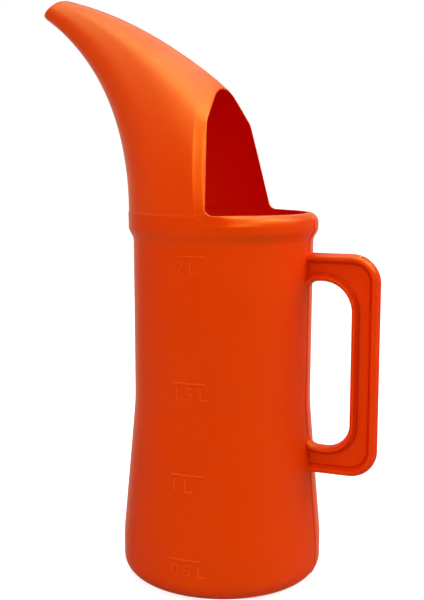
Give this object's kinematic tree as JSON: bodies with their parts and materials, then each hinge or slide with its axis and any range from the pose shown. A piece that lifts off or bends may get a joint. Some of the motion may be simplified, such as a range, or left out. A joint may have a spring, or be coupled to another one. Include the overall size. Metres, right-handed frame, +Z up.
{
  "type": "pouring jug",
  "caption": "Round blow-moulded jug with a horn-shaped spout over an open lipped mouth, a flanged strap handle and raised level lines, for measuring and pouring liquids.",
  "frame": {"origin": "centre of the standing ring, in the plane that the jug stands on", "axes": "+Z up the vessel's axis, +X towards the handle, -X towards the spout, Y across the jug"},
  "size_m": [0.2241, 0.1256, 0.3615],
  "materials": {
    "moulding": "satin moulded polyethylene, orange right through"
  },
  "bodies": {
    "root": {"base": "moulding", "vessel": "moulding", "collar": "moulding", "mouth_lip": "moulding", "hood": "moulding", "spout": "moulding", "handle": "moulding"}
  },
  "joints": []
}
